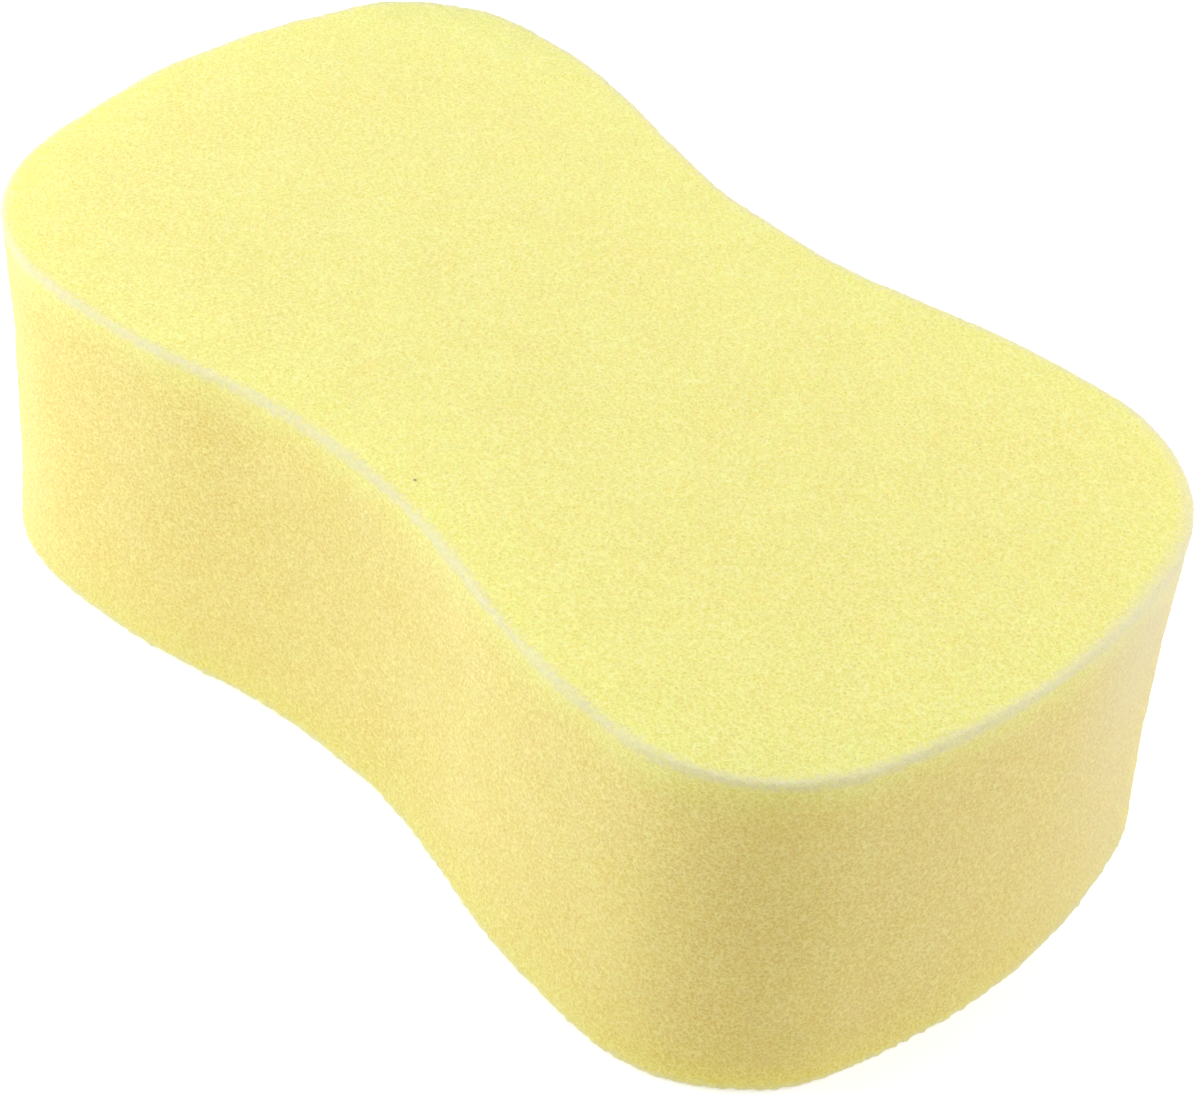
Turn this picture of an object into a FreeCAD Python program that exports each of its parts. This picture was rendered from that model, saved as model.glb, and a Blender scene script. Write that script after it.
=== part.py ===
import FreeCAD, Part
import math
import os

import Sketcher

# A hand-held foam sponge block: one piece of soft open-cell foam, cut from a flat slab to a waisted outline
# with two broad lobes. It lies on its flat bottom, with the origin at the middle of that face. X runs along
# the block, Y runs across it and Z points up.

# The driving dimensions in millimetres: the cell's alias, its value and what it measures.
DIMENSIONS = (
    ("length", 220.0, "over the two bowed ends"),
    ("height", 72.0, "thickness of the slab that the block is cut from"),
    ("lobe_width", 121.0, "across the widest point of a lobe"),
    ("waist_width", 101.0, "across the narrowest point, half-way along"),
    ("waist_length", 67.0, "of the hollow stretch in each long side"),
    ("end_radius", 126.0, "of the gently bowed ends"),
    ("corner_radius", 34.0, "of the four outer corners"),
    ("edge_radius", 1.0, "of the rims round the top and bottom faces, where the cut foam gives way"),
)

UP = FreeCAD.Vector(0, 0, 1)
START, END, CENTRE = 1, 2, 3  # the points of an arc, as Sketcher numbers them
X_AXIS, Y_AXIS = -1, -2  # the axes of a sketch, as Sketcher numbers them
ORIGIN = (X_AXIS, START)
QUARTER_TURN = math.pi / 2
HALF_TURN = math.pi
FLATNESS = 1e-6  # how far a flat face's normal may lean from straight up or down


def make_sheet(document):
    """The spreadsheet of driving dimensions, one row each."""
    sheet = document.addObject("Spreadsheet::Sheet", "Sizes")
    for row, (alias, value, meaning) in enumerate(DIMENSIONS, start=1):
        sheet.set(f"A{row}", str(value))
        sheet.setAlias(f"A{row}", alias)
        sheet.set(f"B{row}", meaning)
    document.recompute()
    return sheet


def half_outline(sizes):
    """Half of the outline, anticlockwise from the right-hand end: the kind of each arc, its centre, its
    radius and the two angles that it runs between. The flank leaves the corner at the lobe's widest point,
    where both run along the block, and meets the hollow waist at the far end of the same turn."""
    corner_y = sizes.lobe_width / 2 - sizes.corner_radius
    reach = sizes.end_radius - sizes.corner_radius
    end_x = sizes.length / 2 - sizes.end_radius
    corner_x = end_x + math.sqrt(reach**2 - corner_y**2)
    end_turn = math.asin(corner_y / reach)
    waist_depth = (sizes.lobe_width - sizes.waist_width) / 2
    side_turn = 2 * math.atan2(waist_depth, corner_x)
    waist_radius = sizes.waist_length / 2 / math.sin(side_turn)
    waist_y = sizes.waist_width / 2 + waist_radius
    flank_radius = corner_x / math.sin(side_turn) - waist_radius
    flank_y = sizes.lobe_width / 2 - flank_radius
    into_corner = QUARTER_TURN - side_turn
    out_of_corner = QUARTER_TURN + side_turn
    return (
        ("end", end_x, 0, sizes.end_radius, -end_turn, end_turn),
        ("corner", corner_x, corner_y, sizes.corner_radius, end_turn, QUARTER_TURN),
        ("flank", corner_x, flank_y, flank_radius, QUARTER_TURN, out_of_corner),
        ("waist", 0, waist_y, waist_radius, -out_of_corner, -into_corner),
        ("flank", -corner_x, flank_y, flank_radius, into_corner, QUARTER_TURN),
        ("corner", -corner_x, corner_y, sizes.corner_radius, QUARTER_TURN, HALF_TURN - end_turn),
    )


def draw_outline(sketch, sizes):
    """Draws the closed outline, and ties its arcs to each other and to the cells of the sheet."""
    outline = []  # each arc's number, and the points where the outline enters and leaves it
    arcs = {"end": [], "corner": [], "flank": [], "waist": []}
    for side, turn in ((1, 0), (-1, HALF_TURN)):
        for kind, x, y, radius, first, last in half_outline(sizes):
            circle = Part.Circle(FreeCAD.Vector(side * x, side * y, 0), UP, radius)
            arc = sketch.addGeometry(Part.ArcOfCircle(circle, first + turn, last + turn), False)
            arcs[kind].append(arc)
            outline.append((arc, END, START) if kind == "waist" else (arc, START, END))

    def tie(kind, *references):
        return sketch.addConstraint(Sketcher.Constraint(kind, *references))

    def bind(name, cells, kind, *references):
        """A named dimension that follows the sheet."""
        number = tie(kind, *references, sketch.evalExpression(cells))
        sketch.renameConstraint(number, name)
        sketch.setExpression(f"Constraints.{name}", cells)

    def crossing(arc, axis, x, y):
        """A construction point where an arc crosses an axis."""
        mark = sketch.addGeometry(Part.Point(FreeCAD.Vector(x, y, 0)), True)
        tie("PointOnObject", mark, START, arc)
        tie("PointOnObject", mark, START, axis)
        return mark, START

    for (arc, _, leaving), (following, entering, _) in zip(outline, outline[1:] + outline[:1]):
        tie("Tangent", arc, leaving, following, entering)
    for first, *others in arcs.values():
        for other in others:
            tie("Equal", first, other)
    for kind, axis in (("end", X_AXIS), ("waist", Y_AXIS)):
        first, second = arcs[kind]
        tie("PointOnObject", first, CENTRE, axis)
        tie("Symmetric", first, CENTRE, second, CENTRE, *ORIGIN)
    for corner, flank in zip(arcs["corner"], arcs["flank"]):
        tie("Vertical", corner, CENTRE, flank, CENTRE)

    end, corner, waist = arcs["end"][0], arcs["corner"][0], arcs["waist"][0]
    tip = crossing(end, X_AXIS, sizes.length / 2, 0)
    middle = crossing(waist, Y_AXIS, 0, sizes.waist_width / 2)
    bind("half_length", "Sizes.length / 2", "DistanceX", *ORIGIN, *tip)
    bind("half_lobe", "Sizes.lobe_width / 2", "DistanceY", *ORIGIN, corner, END)
    bind("half_waist", "Sizes.waist_width / 2", "DistanceY", *ORIGIN, *middle)
    bind("hollow", "Sizes.waist_length", "DistanceX", waist, START, waist, END)
    bind("end_bow", "Sizes.end_radius", "Radius", end)
    bind("corner_round", "Sizes.corner_radius", "Radius", corner)


def flat_faces(shape):
    """The names of the top and bottom faces."""
    return [
        f"Face{number}"
        for number, face in enumerate(shape.Faces, start=1)
        if abs(face.normalAt(0, 0).dot(UP)) > 1 - FLATNESS
    ]


def make_foam_block(document, sizes):
    """The block: the outline padded to the slab's thickness, with its two rims rounded."""
    body = document.addObject("PartDesign::Body", "FoamBlock")
    body.Label = "foam_block"
    body.Placement = FreeCAD.Placement()
    floor = next(plane for plane in body.Origin.OriginFeatures if plane.Role == "XY_Plane")

    sketch = body.newObject("Sketcher::SketchObject", "Outline")
    sketch.AttachmentSupport = [(floor, "")]
    sketch.MapMode = "FlatFace"
    draw_outline(sketch, sizes)
    document.recompute()

    pad = body.newObject("PartDesign::Pad", "Thickness")
    pad.Profile = sketch
    pad.setExpression("Length", "Sizes.height")
    document.recompute()

    rims = body.newObject("PartDesign::Fillet", "Rims")
    rims.Base = (pad, flat_faces(pad.Shape))
    rims.setExpression("Radius", "Sizes.edge_radius")
    document.recompute()
    return body, sketch


def check(document, body, sketch):
    """Stops if anything in the document failed, or the outline can still move."""
    for thing in document.Objects:
        failed = {"Invalid", "Error"} & set(thing.State)
        if failed:
            raise RuntimeError(f"{thing.Label} is {', '.join(failed)}")
    if not sketch.FullyConstrained:
        raise RuntimeError(f"{sketch.Label} isn't fully constrained")
    if body.Shape.isNull() or not body.Shape.isValid() or len(body.Shape.Solids) != 1:
        raise RuntimeError(f"{body.Label} isn't one valid solid")


def main():
    document = FreeCAD.newDocument("FoamSpongeBlock")
    sizes = make_sheet(document)
    body, sketch = make_foam_block(document, sizes)
    check(document, body, sketch)
    os.makedirs("parts", exist_ok=True)
    body.Shape.exportStep(f"parts/{body.Label}.step")

    box = body.Shape.optimalBoundingBox(False, False)
    print(f"{body.Label}: {box.XLength:.2f} x {box.YLength:.2f} x {box.ZLength:.2f} mm")
    print(f"volume {body.Shape.Volume / 1e6:.4f} litres, area {body.Shape.Area / 100:.1f} square cm")


main()
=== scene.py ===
import math

import bpy
import numpy as np
from mathutils import Matrix, Vector
from mathutils.bvhtree import BVHTree


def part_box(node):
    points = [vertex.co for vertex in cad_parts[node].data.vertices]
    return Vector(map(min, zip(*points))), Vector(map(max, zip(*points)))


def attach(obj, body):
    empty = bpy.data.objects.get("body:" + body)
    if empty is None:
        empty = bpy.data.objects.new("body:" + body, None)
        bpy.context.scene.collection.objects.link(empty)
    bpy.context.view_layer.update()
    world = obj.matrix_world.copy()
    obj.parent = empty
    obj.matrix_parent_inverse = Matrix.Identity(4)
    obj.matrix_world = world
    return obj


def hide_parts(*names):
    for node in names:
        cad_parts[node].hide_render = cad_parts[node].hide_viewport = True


# A waisted block of soft open-cell foam, as washing-down and wallpapering sponges are cut. It is one piece:
# the outline is drawn with tangent arcs, extruded to the slab's thickness, divided finely and then roughened
# with the open cells that a cut through foam leaves.

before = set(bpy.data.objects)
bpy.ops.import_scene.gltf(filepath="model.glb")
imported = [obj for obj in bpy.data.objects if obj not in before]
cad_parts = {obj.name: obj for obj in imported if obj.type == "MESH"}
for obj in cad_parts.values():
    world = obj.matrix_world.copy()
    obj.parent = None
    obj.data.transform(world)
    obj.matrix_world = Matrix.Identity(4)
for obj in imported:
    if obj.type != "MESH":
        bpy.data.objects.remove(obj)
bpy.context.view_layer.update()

MM = 0.001

# Sizes of the block. The overall ones are read from its CAD node.
LOW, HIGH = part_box("foam_block")
LENGTH, LOBE_WIDTH, HEIGHT = HIGH - LOW
MIDDLE = (LOW + HIGH) / 2
WAIST_WIDTH = 101 * MM
WAIST_LENGTH = 67 * MM
END_RADIUS = 126 * MM
CORNER_RADIUS = 34 * MM

# How the cut block departs from its drawing.
ARC_STEP = 1.2 * MM  # along the outline
MESH_STEP = 0.6 * MM  # about one foam cell
WALL_HOLLOW = 0.95 * MM  # how far the wall sags inwards at mid height, before the flare is added
FOOT_FLARE = 0.9 * MM  # how far it leans outwards, evenly from the top down to the foot
WALL_REACH = 25 * MM  # how far in from the wall both still tell
SWELL_SIZE = 14 * MM  # the slow unevenness of the cut
SWELL_DEPTH = 0.8 * MM
TEAR_SIZE = 1.5 * MM  # ragged bites along the rims
TEAR_DEPTH = 0.9 * MM
TEAR_REACH = 2.0 * MM
TEAR_SHARE = {"top": 0.3, "foot": 1.0}
CELL_SIZE = 1.2 * MM  # pits two cells wide, the finest that the mesh can hold
CELL_DEPTH = 0.25 * MM
CUT_EDGE = 0.5 * MM  # the rims are cut almost sharp
TOP_BLEND = 9 * MM  # over which the top's lemon turns into the straw colour painted on the wall as shade
# the painted wall shade also fades out just above the foot, so the underside keeps the top's lemon
FOOT_BLEND = 2 * MM

# The foam's patterns, by the distance at which each repeats. Its cells are 0.4 to 0.8 mm across, and the
# deep mouths, darkened as painted shade, and the struts with painted glints lie about two cells apart.
CELL_MOUTH = 0.7 * MM
STRUT = 0.35 * MM
DYE_PATCH = 14 * MM
PORE_SHADE_SPACING = 1.1 * MM
GLINT_SPACING = 1.37 * MM
# the pale band of light painted along the rims has a ragged edge of this size
RIM_RAG = 0.9 * MM
GRAIN_RELIEF = 0.5 * MM
LIGHT_REACH = 35 * MM  # how far light spreads inside the foam
FLECK = (10.7 * MM, -45.7 * MM, 72 * MM)  # a speck of dust on the top

FLOOR_GAP = 0.1 * MM  # so that the floor and the underside never share a plane

# The soft boxes: bearing and height in degrees, distance and side in metres, watts, and colour.
SOFT_BOXES = {
    "left_soft_box": (-43, 18, 0.62, 0.4, 2.12, "#FCFFFD"),
    "far_left_soft_box": (-100, 35, 0.6, 0.4, 0.5, "#FFFFFF"),
    "right_soft_box": (133, 20, 0.6, 0.4, 1.3, "#FCF4FF"),
    "overhead_soft_box": (223, 85, 1.2, 0.9, 12.4, "#FFFFFF"),
}
FLOOR_GLOW = 0.47  # lifts the floor to white, as a floor lit by lamps of its own
AMBIENT_LIGHT = 0.07  # from all round, besides the soft boxes
BACKDROP = 0.5  # how bright the room behind the floor is to look at

# The flat layout of the skin: a square sheet with four rows.
SHEET_SIDE = 410 * MM
SHEET_MARGIN = 3 * MM
SHEET_ROWS = (0 * MM, 78 * MM, 156 * MM, 281 * MM)
SHEET_SLOPE = 0.7


def use(piece):
    """Makes a piece the only selected and active one."""
    bpy.ops.object.select_all(action="DESELECT")
    piece.select_set(True)
    bpy.context.view_layer.objects.active = piece


def modify(piece, kind, **settings):
    """Adds a modifier with its settings, and applies it."""
    use(piece)
    modifier = piece.modifiers.new(kind.title(), kind)
    for name, value in settings.items():
        setattr(modifier, name, value)
    bpy.ops.object.modifier_apply(modifier=modifier.name)


def points_of(piece):
    found = np.empty(len(piece.data.vertices) * 3)
    piece.data.vertices.foreach_get("co", found)
    return found.reshape(-1, 3)


def put_points(piece, points):
    piece.data.vertices.foreach_set("co", points.ravel())
    piece.data.update()


def spin_arc(centre_x, centre_y, radius, turn):
    """Draws on from the selected point, round a centre, anticlockwise, which spin counts as negative."""
    bpy.ops.mesh.spin(
        steps=max(2, round(abs(turn) * radius / ARC_STEP)),
        angle=-turn,
        center=MIDDLE + Vector((centre_x, centre_y, -HEIGHT / 2)),
        axis=(0, 0, 1),
    )


def draw_block():
    """The block as drawn: a quarter of the outline in four tangent arcs, mirrored, filled and extruded."""
    corner_y = LOBE_WIDTH / 2 - CORNER_RADIUS
    reach = END_RADIUS - CORNER_RADIUS
    end_x = LENGTH / 2 - END_RADIUS
    corner_x = end_x + math.sqrt(reach**2 - corner_y**2)
    end_turn = math.asin(corner_y / reach)
    side_turn = 2 * math.atan2((LOBE_WIDTH - WAIST_WIDTH) / 2, corner_x)
    waist_radius = WAIST_LENGTH / 2 / math.sin(side_turn)
    flank_radius = corner_x / math.sin(side_turn) - waist_radius

    tip = MIDDLE + Vector((LENGTH / 2, 0, -HEIGHT / 2))
    bpy.ops.mesh.primitive_plane_add(size=ARC_STEP, location=tip)
    block = bpy.context.object
    block.name = block.data.name = "foam_sponge_block"
    bpy.ops.object.transform_apply(location=True)
    bpy.ops.object.mode_set(mode="EDIT")
    bpy.ops.mesh.merge(type="CENTER")
    spin_arc(end_x, 0, END_RADIUS, end_turn)
    spin_arc(corner_x, corner_y, CORNER_RADIUS, math.pi / 2 - end_turn)
    spin_arc(corner_x, LOBE_WIDTH / 2 - flank_radius, flank_radius, side_turn)
    spin_arc(0, WAIST_WIDTH / 2 + waist_radius, waist_radius, -side_turn)
    bpy.ops.object.mode_set(mode="OBJECT")
    modify(block, "MIRROR", use_axis=(True, True, False), merge_threshold=ARC_STEP / 4)
    bpy.ops.object.mode_set(mode="EDIT")
    bpy.ops.mesh.select_all(action="SELECT")
    bpy.ops.mesh.remove_doubles(threshold=ARC_STEP / 4)
    bpy.ops.mesh.edge_face_add()
    bpy.ops.mesh.extrude_region_move(TRANSFORM_OT_translate={"value": (0, 0, HEIGHT)})
    bpy.ops.mesh.select_all(action="SELECT")
    bpy.ops.mesh.normals_make_consistent(inside=False)
    bpy.ops.object.mode_set(mode="OBJECT")
    return block


def from_wall(drawn, points):
    """For each point, how far it lies inside the outline, and the way out, level. Far points get no way."""
    tree = BVHTree.FromObject(drawn, bpy.context.evaluated_depsgraph_get())
    depth = np.full(len(points), WALL_REACH)
    way = np.zeros((len(points), 2))
    for number, (x, y, _) in enumerate(points):
        _, normal, _, distance = tree.find_nearest((x, y, MIDDLE.z), WALL_REACH)
        if normal:
            depth[number] = distance
            way[number] = normal[:2]
    return depth, way


def swell(piece, size, depth, kind="CLOUDS", group="", **settings):
    """Moves the surface in and out by a procedural texture."""
    texture = bpy.data.textures.new("swell", kind)
    texture.noise_scale = size
    for name, value in settings.items():
        setattr(texture, name, value)
    modify(
        piece,
        "DISPLACE",
        texture=texture,
        texture_coords="LOCAL",
        strength=depth,
        mid_level=0.5,
        vertex_group=group,
    )


def remember(piece, name, values):
    """Keeps one number for each point of the mesh, for the material to read."""
    attribute = piece.data.attributes.new(name, "FLOAT", "POINT")
    attribute.data.foreach_set("value", values.astype(np.float32))


def lay_flat(piece, drawn):
    """Lays the skin out as four sheets, for baking: front wall, back wall, top and underside."""
    outline = points_of(drawn)
    outline = outline[outline[:, 2] < MIDDLE.z]
    turns = np.arctan2(outline[:, 1], outline[:, 0])
    outline = outline[np.argsort(turns)]
    steps = np.linalg.norm(np.roll(outline, -1, axis=0) - outline, axis=1)
    round_it = steps.sum()
    along = np.concatenate(([0], np.cumsum(steps)[:-1]))

    def along_wall(points):
        turn = np.arctan2(points[:, 1], points[:, 0])
        return np.interp(turn, np.sort(turns), along, period=2 * math.pi)

    mesh = piece.data
    faces = len(mesh.polygons)
    normals = np.empty(faces * 3)
    centres = np.empty(faces * 3)
    corner_counts = np.empty(faces, dtype=int)
    corners = np.empty(len(mesh.loops), dtype=int)
    mesh.polygons.foreach_get("normal", normals)
    mesh.polygons.foreach_get("center", centres)
    mesh.polygons.foreach_get("loop_total", corner_counts)
    mesh.loops.foreach_get("vertex_index", corners)
    slope = np.repeat(normals.reshape(-1, 3)[:, 2], corner_counts)
    centres = np.repeat(centres.reshape(-1, 3), corner_counts, axis=0)
    points = points_of(piece)[corners]

    ahead = along_wall(points) - along_wall(centres)
    ahead -= round_it * np.round(ahead / round_it)
    behind = centres[:, 1] > MIDDLE.y
    flat_x = np.where(behind, along_wall(centres) - round_it / 2, along_wall(centres)) + ahead
    flat_y = points[:, 2] - LOW.z + np.where(behind, SHEET_ROWS[1], SHEET_ROWS[0])
    for facing, row in ((slope > SHEET_SLOPE, SHEET_ROWS[2]), (slope < -SHEET_SLOPE, SHEET_ROWS[3])):
        flat_x = np.where(facing, points[:, 0] - LOW.x, flat_x)
        flat_y = np.where(facing, points[:, 1] - LOW.y + row, flat_y)
    flat = np.column_stack((flat_x, flat_y)) + SHEET_MARGIN
    layer = mesh.uv_layers.new(name="OFBake")
    layer.data.foreach_set("uv", (flat / SHEET_SIDE).ravel())


def give_wall_its_cut(block, drawn):
    """Bows the wall in at mid height and out at the foot, and marks the rims, and the wall's share of
    painted shade, for later.
    """
    points = points_of(block)
    depth, way = from_wall(drawn, points)
    drop = (HIGH.z - points[:, 2]) / HEIGHT  # 0 at the top, 1 at the foot
    near = 1 - (depth / WALL_REACH) ** 2
    out = near * (FOOT_FLARE * drop - WALL_HOLLOW * 4 * drop * (1 - drop))
    points[:, :2] += way * out[:, None]
    put_points(block, points)

    from_top = HIGH.z - points[:, 2]
    from_foot = points[:, 2] - LOW.z
    rim = np.hypot(depth, np.minimum(from_top, from_foot))
    remember(block, "rim_distance", rim)
    # the walls carry painted shade: none on the top and underside, fading in below the top and above the
    # foot
    from_lit = np.minimum(from_top / TOP_BLEND, from_foot / FOOT_BLEND)
    remember(block, "painted_wall_shade", np.clip(from_lit - depth / FOOT_BLEND, 0, 1))
    torn = block.vertex_groups.new(name="torn")
    share = np.clip(1 - rim / TEAR_REACH, 0, 1) * np.where(drop > 0.5, TEAR_SHARE["foot"], TEAR_SHARE["top"])
    for number in np.flatnonzero(share):
        torn.add([int(number)], float(share[number]), "REPLACE")


def roughen(block):
    """Makes the skin uneven, ragged at the rims and pitted with cells, and keeps its foot on the floor."""
    swell(block, SWELL_SIZE, SWELL_DEPTH, noise_depth=1)
    swell(block, TEAR_SIZE, TEAR_DEPTH, group="torn", noise_depth=2)
    swell(block, CELL_SIZE, CELL_DEPTH, kind="VORONOI")
    points = points_of(block)
    points[:, 2] = np.maximum(points[:, 2], LOW.z)
    put_points(block, points)


def make_block():
    block = draw_block()
    drawn = block.copy()
    drawn.data = block.data.copy()
    bpy.context.collection.objects.link(drawn)
    modify(block, "BEVEL", width=CUT_EDGE, segments=2, limit_method="ANGLE", angle_limit=math.radians(60))
    modify(block, "REMESH", mode="VOXEL", voxel_size=MESH_STEP)
    lay_flat(block, drawn)
    give_wall_its_cut(block, drawn)
    bpy.data.objects.remove(drawn)
    roughen(block)
    use(block)
    bpy.ops.object.shade_smooth()
    return block


def linear(hex_colour):
    """An sRGB hex colour as linear red, green, blue and alpha."""
    parts = [int(hex_colour[i : i + 2], 16) / 255 for i in (1, 3, 5)]
    return [p / 12.92 if p <= 0.04045 else ((p + 0.055) / 1.055) ** 2.4 for p in parts] + [1.0]


def add(tree, kind, inputs=None, **settings):
    """Adds a node with its settings. An input is named or numbered, and takes a value or a node's output."""
    node = tree.nodes.new(kind)
    for name, value in settings.items():
        setattr(node, name, value)
    for key, value in (inputs or {}).items():
        if isinstance(value, bpy.types.NodeSocket):
            tree.links.new(value, node.inputs[key])
        else:
            node.inputs[key].default_value = value
    return node


def polyurethane_foam():
    """Soft open-cell polyurethane foam, dyed lemon and cut from a slab. The cut opens its cells, so to the
    eye it is matt and finely pitted, with no gleam. Light soaks in and comes back warmer, so its shaded side
    glows. Shade is painted on its walls and in its pits, and glints on its struts. Along the rims, where
    torn struts stand free, a pale band of light is painted, with a painted sheen on the far right corner."""
    material = bpy.data.materials.new("open_cell_polyurethane_foam")
    material.use_nodes = True
    tree = material.node_tree
    tree.nodes.clear()
    place = add(tree, "ShaderNodeTexCoord").outputs["Object"]
    upward = add(tree, "ShaderNodeSeparateXYZ", {0: place}).outputs["Z"]
    rim = add(tree, "ShaderNodeAttribute", attribute_name="rim_distance").outputs["Fac"]
    # how much painted shade each point of the wall carries
    wall = add(tree, "ShaderNodeAttribute", attribute_name="painted_wall_shade").outputs["Fac"]
    to_corner = {0: place, 1: (1.0, 0.6, 0.0)}  # grows towards the far right corner
    corner = add(tree, "ShaderNodeVectorMath", to_corner, operation="DOT_PRODUCT").outputs["Value"]
    dust = add(tree, "ShaderNodeVectorMath", {0: place, 1: FLECK}, operation="DISTANCE").outputs["Value"]

    patterns = {}
    for name, kind, size, detail in (
        ("mouths", "ShaderNodeTexVoronoi", CELL_MOUTH, 0.0),
        ("struts", "ShaderNodeTexNoise", STRUT, 3.0),
        ("dye", "ShaderNodeTexNoise", DYE_PATCH, 3.0),
        ("painted_pore_shade", "ShaderNodeTexVoronoi", PORE_SHADE_SPACING, 0.0),
        ("painted_glint", "ShaderNodeTexVoronoi", GLINT_SPACING, 0.0),
        ("ragged", "ShaderNodeTexNoise", RIM_RAG, 2.0),
    ):
        patterns[name] = add(tree, kind, {"Vector": place, "Scale": 1 / size, "Detail": detail}).outputs[0]
    grain = {0: patterns["mouths"], 1: 0.35, 2: patterns["struts"]}
    grain = add(tree, "ShaderNodeMath", grain, operation="MULTIPLY_ADD").outputs[0]

    # how each pattern or distance, from where it starts to where it ends, turns into a share or a length
    turned = {}
    for name, source, start, end, low, high in (
        ("mouths", grain, 0.4, 1.0, 0.0, 1.0),
        ("dye", patterns["dye"], 0.35, 0.7, 0.0, 1.0),
        ("painted_pore_shade", patterns["painted_pore_shade"], 0.1, 0.25, 0.3, 0.0),
        ("painted_glint", patterns["painted_glint"], 0.1, 0.22, 0.7, 0.0),
        ("far_corner", corner, 110 * MM, 126 * MM, 0.0, 1.0),
        ("high_up", upward, 20 * MM, 70 * MM, 0.2, 0.6),
        ("below_rim", upward, 71.8 * MM, 70.5 * MM, 0.0, 1.0),
        ("rag", patterns["ragged"], 0.3, 0.7, -0.5 * MM, 0.5 * MM),
        ("rim_glow_width", corner, 105 * MM, 126 * MM, 2.5 * MM, 4.0 * MM),
        ("dust", dust, 0.2 * MM, 0.45 * MM, 0.7, 0.0),
    ):
        span = {"Value": source, "From Min": start, "From Max": end, "To Min": low, "To Max": high}
        turned[name] = add(tree, "ShaderNodeMapRange", span, interpolation_type="SMOOTHSTEP").outputs[0]

    # the dye is uneven, and more so on the walls
    uneven = add(tree, "ShaderNodeMath", {0: wall, 1: 0.3, 2: 0.15}, operation="MULTIPLY_ADD").outputs[0]
    uneven = add(tree, "ShaderNodeMath", {0: turned["dye"], 1: uneven}, operation="MULTIPLY").outputs[0]

    # a pale painted sheen on the wall of the far right corner, most of all under the rim
    painted_sheen = {0: turned["far_corner"], 1: turned["high_up"]}
    painted_sheen = add(tree, "ShaderNodeMath", painted_sheen, operation="MULTIPLY").outputs[0]
    painted_sheen = add(tree, "ShaderNodeMath", {0: painted_sheen, 1: turned["below_rim"]}, operation="MULTIPLY").outputs[0]

    # along the rims, where torn struts stand free, a pale band is painted for light passing through them
    near = add(tree, "ShaderNodeMath", {0: rim, 1: turned["rag"]}, operation="ADD").outputs[0]
    near = add(tree, "ShaderNodeMath", {0: near, 1: turned["rim_glow_width"]}, operation="DIVIDE").outputs[0]
    painted_rim_glow = {"Value": near, "To Min": 0.75, "To Max": 0.0}
    painted_rim_glow = add(tree, "ShaderNodeMapRange", painted_rim_glow, interpolation_type="SMOOTHSTEP").outputs[0]

    # each finish from the bottom of a cell mouth, darkened as painted shade, to its struts
    finishes = {}
    for name, shaded_mouth, strut in (
        ("face", "#EEE785", "#FFFBAD"),
        # the side finish is a darker, warmer copy of the face, painted as shade on the walls
        ("side", "#EBD67A", "#FFF4A7"),
        ("warm", "#E9D270", "#FEF1A0"),
    ):
        mixed = {0: turned["mouths"], 6: linear(shaded_mouth), 7: linear(strut)}
        finishes[name] = add(tree, "ShaderNodeMix", mixed, data_type="RGBA").outputs[2]
    colour = finishes["face"]
    # in turn: painted wall shade, dye, painted pore shade and glints, painted sheen and rim light, dust
    for share, finish in (
        (wall, finishes["side"]),
        (uneven, finishes["warm"]),
        (turned["painted_pore_shade"], linear("#CFB152")),
        (turned["painted_glint"], linear("#FFF7A8")),
        (painted_sheen, linear("#EFE8C0")),
        (painted_rim_glow, linear("#EAE2C0")),
        (turned["dust"], linear("#5E7058")),
    ):
        mixed = {0: share, 6: colour, 7: finish}
        colour = add(tree, "ShaderNodeMix", mixed, data_type="RGBA").outputs[2]

    relief = {"Height": grain, "Strength": 0.9, "Distance": GRAIN_RELIEF}
    shader = add(
        tree,
        "ShaderNodeBsdfPrincipled",
        {
            "Base Color": colour,
            "Normal": add(tree, "ShaderNodeBump", relief).outputs[0],
            "Roughness": 0.95,
            "IOR": 1.3,
            "Specular IOR Level": 0.1,
            "Subsurface Weight": 0.6,
            "Subsurface Radius": (1.0, 0.6, 0.1),
            "Subsurface Scale": LIGHT_REACH,
            "Sheen Weight": 0.2,
            "Sheen Roughness": 0.4,
            "Sheen Tint": linear("#FFFAE6"),
        },
    )
    add(tree, "ShaderNodeOutputMaterial", {"Surface": shader.outputs[0]})
    return material


def dress(piece, material):
    piece.data.materials.clear()
    piece.data.materials.append(material)


block = make_block()
dress(block, polyurethane_foam())
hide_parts("foam_block")
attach(block, "root")


# The studio: a pale floor that goes on past the view, soft lights and a long lens.
def make_floor():
    bpy.ops.mesh.primitive_plane_add(size=6, location=(0, 0, LOW.z - FLOOR_GAP))
    floor = bpy.context.object
    floor.name = "studio_floor"
    material = bpy.data.materials.new("matt_white_backdrop_paper")  # flat and bright, with no reflection
    material.use_nodes = True
    shader = material.node_tree.nodes["Principled BSDF"]
    shader.inputs["Base Color"].default_value = (0.9, 0.9, 0.9, 1)
    shader.inputs["Roughness"].default_value = 1.0
    shader.inputs["Emission Color"].default_value = (1, 1, 1, 1)
    shader.inputs["Emission Strength"].default_value = FLOOR_GLOW
    floor.data.materials.append(material)


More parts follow.
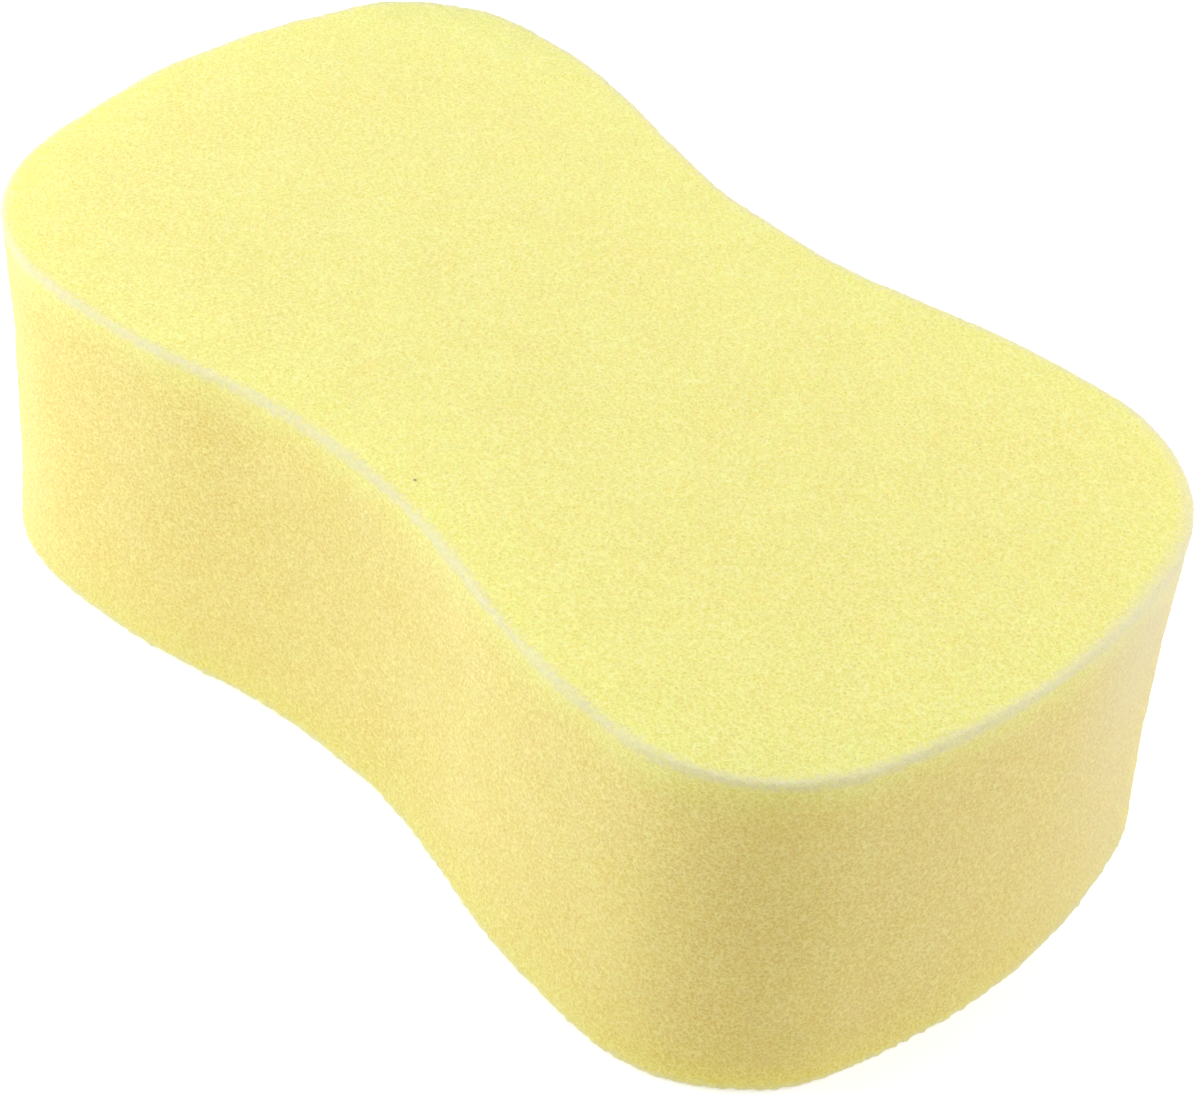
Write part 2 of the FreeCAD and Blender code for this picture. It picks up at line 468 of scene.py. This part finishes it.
def direction(azimuth, elevation):
    """The way from the block to a bearing, counted from the front towards the right, and a height."""
    return Vector(
        (
            math.sin(azimuth) * math.cos(elevation),
            -math.cos(azimuth) * math.cos(elevation),
            math.sin(elevation),
        )
    )


def make_soft_box(name, azimuth, elevation, distance, size, power, colour):
    """A square soft box that faces the block, and can't be seen itself."""
    way = direction(math.radians(azimuth), math.radians(elevation))
    light = bpy.data.lights.new(name, "AREA")
    light.shape = "SQUARE"
    light.size = size
    light.energy = power
    light.color = linear(colour)[:3]
    lamp = bpy.data.objects.new(name, light)
    lamp.visible_camera = False
    lamp.location = MIDDLE + way * distance
    lamp.rotation_euler = way.to_track_quat("Z", "Y").to_euler()
    bpy.context.collection.objects.link(lamp)


def make_camera():
    """A long lens from above the front right corner."""
    azimuth, elevation, roll = (math.radians(d) for d in (43.418, 42.177, 4.356))
    distance, aside, up = 554.65 * MM, 6.48 * MM, -9.68 * MM
    back = direction(azimuth, elevation)
    level = Vector((math.cos(azimuth), math.sin(azimuth), 0))
    upright = back.cross(level)
    right = level * math.cos(roll) + upright * math.sin(roll)
    over = upright * math.cos(roll) - level * math.sin(roll)
    data = bpy.data.cameras.new("camera")
    data.sensor_width = 36
    data.lens = 92.3
    data.clip_start = 0.01
    camera = bpy.data.objects.new("camera", data)
    place = MIDDLE + back * distance + right * aside + over * up
    camera.matrix_world = Matrix.Translation(place) @ Matrix((right, over, back)).transposed().to_4x4()
    bpy.context.collection.objects.link(camera)
    bpy.context.scene.camera = camera


def make_room():
    """Faint light from all round, with a pale grey behind the floor."""
    world = bpy.data.worlds.new("studio")
    bpy.context.scene.world = world
    world.use_nodes = True
    tree = world.node_tree
    seen = add(tree, "ShaderNodeLightPath").outputs["Is Camera Ray"]
    strength = {"Value": seen, "To Min": AMBIENT_LIGHT, "To Max": BACKDROP}
    strength = add(tree, "ShaderNodeMapRange", strength).outputs[0]
    tree.links.new(strength, tree.nodes["Background"].inputs["Strength"])
    tree.nodes["Background"].inputs["Color"].default_value = (1, 1, 1, 1)


make_floor()
for name, settings in SOFT_BOXES.items():
    make_soft_box(name, *settings)
make_camera()
make_room()
bpy.context.scene.view_settings.view_transform = "Standard"
